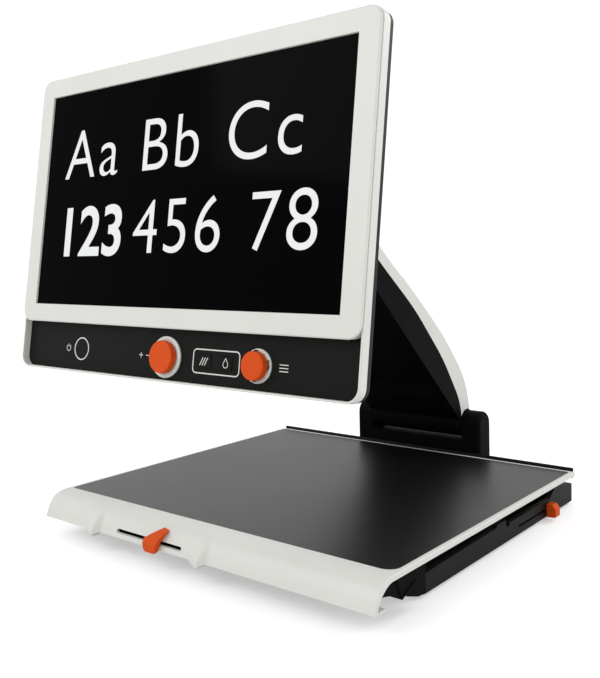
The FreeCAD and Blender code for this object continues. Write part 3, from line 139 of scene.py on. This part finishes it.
FINISHES = {
    "white_shell": WHITE, "black_shell": BLACK, "cover_shell": COVER, "control_black": CONTROL,
    "orange_plastic": ORANGE, "reading_field": FIELD, "screen": GLASS, "steel": STEEL,
    "bronze": BRONZE, "black_metal": PAINT, "foot_rubber": RUBBER, "screw_steel": SCREW,
    "circuit": CIRCUIT, "battery": BATTERY, "lens": LENS, "lamp": LAMP, "display_metal": METAL,
}
# Black parts that get the darker copy of the black shell as painted shade.
PAINTED_SHADE_NODES = {"arm_front_shell", "table_ribs", "lock_guide", "hinge_housing", "rear_deck"}


# ---------------------------------------------------------------- CAD nodes

SOFT_EDGE = 0.35            # mm, width of the softened edges, apart from those in SOFT_NODES
SOFT_NODES = {"arm_rear_shell": 5.0, "table_plate": 0.6, "rear_strip": 0.3, "front_lever": 0.5,
              "side_lever": 0.6, "hinge_housing": 0.8, "base_tray": 0.6}
WIDE_EDGE = 2.0             # mm, edges wider than this get more segments
WELD_GAP = 0.002            # mm
FLAT_ANGLE = math.radians(0.6)
EDGE_ANGLE = math.radians(32)
FLAT_WEIGHT = 100           # keeps large flat faces flat in the shading


def dress_cad_nodes():
    """Give every CAD node its finish, soft edges and smooth shading; a few black nodes get a
    darker, duller black instead, as painted shade.
    """
    for part in frame["record"]["subparts"]:
        thing = frame["nodes"][part["node"]]
        thing.data.materials.clear()
        # Painted shade: these nodes get the darker black in place of their own finish.
        in_painted_shade = part["node"] in PAINTED_SHADE_NODES
        thing.data.materials.append(PAINTED_SHADE_BLACK if in_painted_shade else FINISHES[part["material_slot"]])
        thing.data.shade_smooth()
        weld = thing.modifiers.new("weld", "WELD")
        weld.merge_threshold = WELD_GAP * MM
        flat = thing.modifiers.new("flat", "DECIMATE")
        flat.decimate_type = "DISSOLVE"
        flat.angle_limit = FLAT_ANGLE
        soft = thing.modifiers.new("soft", "BEVEL")
        width = SOFT_NODES.get(part["node"], SOFT_EDGE)
        soft.width = width * MM
        soft.segments = 5 if width > WIDE_EDGE else 2
        soft.limit_method = "ANGLE"
        soft.angle_limit = EDGE_ANGLE
        level = thing.modifiers.new("level", "WEIGHTED_NORMAL")
        level.weight = FLAT_WEIGHT
        level.keep_sharp = True


dress_cad_nodes()


# ---------------------------------------------------------------- screen and panel marks

# The display's own frame: X to the right, Y up the screen, Z out of it. Faces and lifts in mm.
LEAN = math.radians(8.6)
SCREEN = Matrix.Translation((0, -0.2134, 0.3558)) @ Matrix.Rotation(math.pi / 2 - LEAN, 4, "X")
PANEL_FACE = -8.5
KEY_FACE = PANEL_FACE + 0.85
PANEL_MARK_LIFT = 0.05
STROKE_FLATNESS = 0.15
TEXT_LIFT = 0.03
TEXT_THICK = 0.01


def settle(thing, material):
    """Give a new piece its finish and slot, and let it move with the monitor."""
    thing.data.materials.append(material)
    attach(thing, "monitor")


def strokes(name, paths, width, height):
    """Printed strokes on the monitor's front: each path is a list of (right, up) in mm."""
    curve = bpy.data.curves.new(name, "CURVE")
    curve.dimensions = "3D"
    curve.bevel_depth = width / 2 * MM
    curve.bevel_resolution = 2
    curve.use_fill_caps = True
    for path in paths:
        spline = curve.splines.new("POLY")
        spline.points.add(len(path) - 1)
        for point, (right, up) in zip(spline.points, path):
            point.co = (right * MM, up * MM, 0, 1)
    thing = bpy.data.objects.new(name, curve)
    bpy.context.scene.collection.objects.link(thing)
    flat = Matrix.Diagonal((1, 1, STROKE_FLATNESS, 1))
    thing.matrix_world = SCREEN @ Matrix.Translation((0, 0, height * MM)) @ flat
    settle(thing, WHITE)


def arc(right, up, radius, start, end, steps=28):
    """Points on an arc, angles in degrees."""
    points = []
    for step in range(steps + 1):
        angle = math.radians(start + (end - start) * step / steps)
        points.append((right + radius * math.cos(angle), up + radius * math.sin(angle)))
    return points


def power_mark(right, up, radius=3.0, width=0.75):
    """Open ring with a bar in its gap."""
    ring = arc(right, up, radius, 120, 420)
    bar = [(right, up + 0.5), (right, up + 4.2)]
    strokes("power_mark", [ring, bar], width, PANEL_FACE + PANEL_MARK_LIFT)


def zoom_mark(plus_right, minus_right, up, half=2.5, width=0.8):
    """A plus and a minus."""
    across = [[(right - half, up), (right + half, up)] for right in (plus_right, minus_right)]
    upright = [(plus_right, up - half), (plus_right, up + half)]
    strokes("zoom_mark", [*across, upright], width, PANEL_FACE + PANEL_MARK_LIFT)


def function_mark(left, right, up, step=2.6, width=0.8):
    """Three short lines, one over the other."""
    rows = [[(left, up + shift), (right, up + shift)] for shift in (-step, 0.0, step)]
    strokes("function_mark", rows, width, PANEL_FACE + PANEL_MARK_LIFT)


def line_mark(low, high, step=2.8, width=0.9):
    """Three slanting lines on the left key, from low to high."""
    slant = [[(low[0] + shift, low[1]), (high[0] + shift, high[1])] for shift in (-step, 0.0, step)]
    strokes("line_mark", slant, width, KEY_FACE)


def contrast_mark(right, up, radius=2.7, tip=5.3, width=0.7):
    """A drop on the right key."""
    point = (right, up + tip)
    drop = [point, *arc(right, up, radius, 35, -215, 24), point]
    strokes("contrast_mark", [drop], width, KEY_FACE)


def screen_text(name, words, right, up, size, thicken, spacing):
    """Enlarged sample text on the display, its left end and baseline at (right, up) in mm."""
    text = bpy.data.curves.new(name, "FONT")
    text.body = words
    text.size = size * MM
    text.offset = thicken * MM
    text.extrude = TEXT_THICK * MM
    text.space_character = spacing
    thing = bpy.data.objects.new(name, text)
    bpy.context.scene.collection.objects.link(thing)
    thing.matrix_world = SCREEN @ Matrix.Translation((right * MM, up * MM, TEXT_LIFT * MM))
    settle(thing, LIT)


# Places on the display's frame in mm, beside the controls that they belong to.
power_mark(-143.0, -149.8)
zoom_mark(-35.0, -26.0, -150.4)
function_mark(129.0, 138.0, -150.8)
line_mark((44.0, -154.6), (47.6, -147.8))
contrast_mark(71.2, -152.2)
screen_text("screen_line_1", "Aa Bb Cc", -163.0, 19.0, 72.0, -0.5, 1.12)
screen_text("screen_word", "123", -166.0, -58.0, 68.0, 1.3, 1.0)
screen_text("screen_line_2", "456 78", -52.0, -58.0, 72.0, -0.5, 1.1)


# ---------------------------------------------------------------- studio

# name, place, point it faces, size (m) and power (W)
LIGHTS = [
    ("key", (-0.8, -1.8, 1.5), (0, 0, 0.25), (1.4, 1.0), 13.0),
    ("fill", (1.9, -0.5, 0.9), (0, 0, 0.2), (1.2, 1.2), 6.0),
    ("rim", (1.2, 1.5, 1.4), (0, 0.1, 0.25), (1.0, 1.0), 16.0),
]
FLOOR_WIDE = 14.0           # m
FLOOR_TONE = (0.82, 0.82, 0.82, 1.0)
FLOOR_GLOW = 0.42
ROOM_TO_CAMERA = 1.1
ROOM_LEFT = 0.98
ROOM_RIGHT = 0.6
ROOM_SWEEP = (-0.8, 0.1)    # X of the directions between which the room's light falls off


def area_light(name, place, target, size, power):
    """One soft rectangular light."""
    data = bpy.data.lights.new(name, "AREA")
    data.shape = "RECTANGLE"
    data.size, data.size_y = size
    data.energy = power
    light = bpy.data.objects.new(name, data)
    bpy.context.scene.collection.objects.link(light)
    light.location = place
    light.rotation_euler = (Vector(target) - Vector(place)).to_track_quat("-Z", "Y").to_euler()


def pale_floor():
    """White tabletop: it glows a little to the camera, so only its shaded parts show."""
    bpy.ops.mesh.primitive_plane_add(size=FLOOR_WIDE, location=(0, 0, 0))
    floor = bpy.context.object
    floor.name = "floor"
    paper = new_material("floor_paper", FLOOR_TONE, 0.9, specular=0.0)
    shader = paper.node_tree.nodes["Principled BSDF"]
    seen = add(paper, "ShaderNodeLightPath")
    glow = add(paper, "ShaderNodeMath", operation="MULTIPLY")
    glow.inputs[1].default_value = FLOOR_GLOW
    wire(paper, seen, "Is Camera Ray", glow, 0)
    wire(paper, glow, "Value", shader, "Emission Strength")
    shader.inputs["Emission Color"].default_value = (1, 1, 1, 1)
    floor.data.materials.append(paper)


def surroundings():
    """White room, brighter to the left, that is pure white to the camera."""
    world = bpy.data.worlds.new("studio")
    world.use_nodes = True
    back = world.node_tree.nodes["Background"]
    back.inputs["Color"].default_value = (1, 1, 1, 1)
    place = add(world, "ShaderNodeTexCoord")
    split = add(world, "ShaderNodeSeparateXYZ")
    sweep = add(world, "ShaderNodeMapRange", **{"From Min": ROOM_SWEEP[0],
                                                "From Max": ROOM_SWEEP[1],
                                                "To Min": ROOM_LEFT, "To Max": ROOM_RIGHT})
    seen = add(world, "ShaderNodeLightPath")
    level = add(world, "ShaderNodeMapRange", **{"To Max": ROOM_TO_CAMERA})
    wire(world, place, "Generated", split, "Vector")
    wire(world, split, "X", sweep, "Value")
    wire(world, seen, "Is Camera Ray", level, "Value")
    wire(world, sweep, "Result", level, "To Min")
    wire(world, level, "Result", back, "Strength")
    bpy.context.scene.world = world


def studio():
    """Pale floor, white surroundings and large soft lights."""
    pale_floor()
    surroundings()
    for light in LIGHTS:
        area_light(*light)
    bpy.context.scene.view_settings.view_transform = "Standard"


CAMERA_PLACE = (0.5579, -0.7468, 0.2997)
CAMERA_AZIMUTH = math.radians(40.39)
CAMERA_ELEVATION = math.radians(2.89)
CAMERA_ROLL = math.radians(-1.34)
SENSOR = 36.0
LENS = 45.4
LENS_SHIFT = (0.0510, -0.0687)
NEAR_LIMIT = 0.02


def camera():
    """The viewpoint: from the right and in front, looking nearly level."""
    back = Vector((math.sin(CAMERA_AZIMUTH) * math.cos(CAMERA_ELEVATION),
                   -math.cos(CAMERA_AZIMUTH) * math.cos(CAMERA_ELEVATION),
                   math.sin(CAMERA_ELEVATION)))
    across = Vector((0, 0, 1)).cross(back).normalized()
    up = back.cross(across)
    right = math.cos(CAMERA_ROLL) * across + math.sin(CAMERA_ROLL) * up
    top = -math.sin(CAMERA_ROLL) * across + math.cos(CAMERA_ROLL) * up
    data = bpy.data.cameras.new("camera")
    data.sensor_width = SENSOR
    data.lens = LENS
    data.shift_x, data.shift_y = LENS_SHIFT
    data.clip_start = NEAR_LIMIT
    seen = bpy.data.objects.new("camera", data)
    bpy.context.scene.collection.objects.link(seen)
    turn = Matrix((right, top, back)).transposed().to_4x4()
    seen.matrix_world = Matrix.Translation(CAMERA_PLACE) @ turn
    bpy.context.scene.camera = seen


studio()
camera()
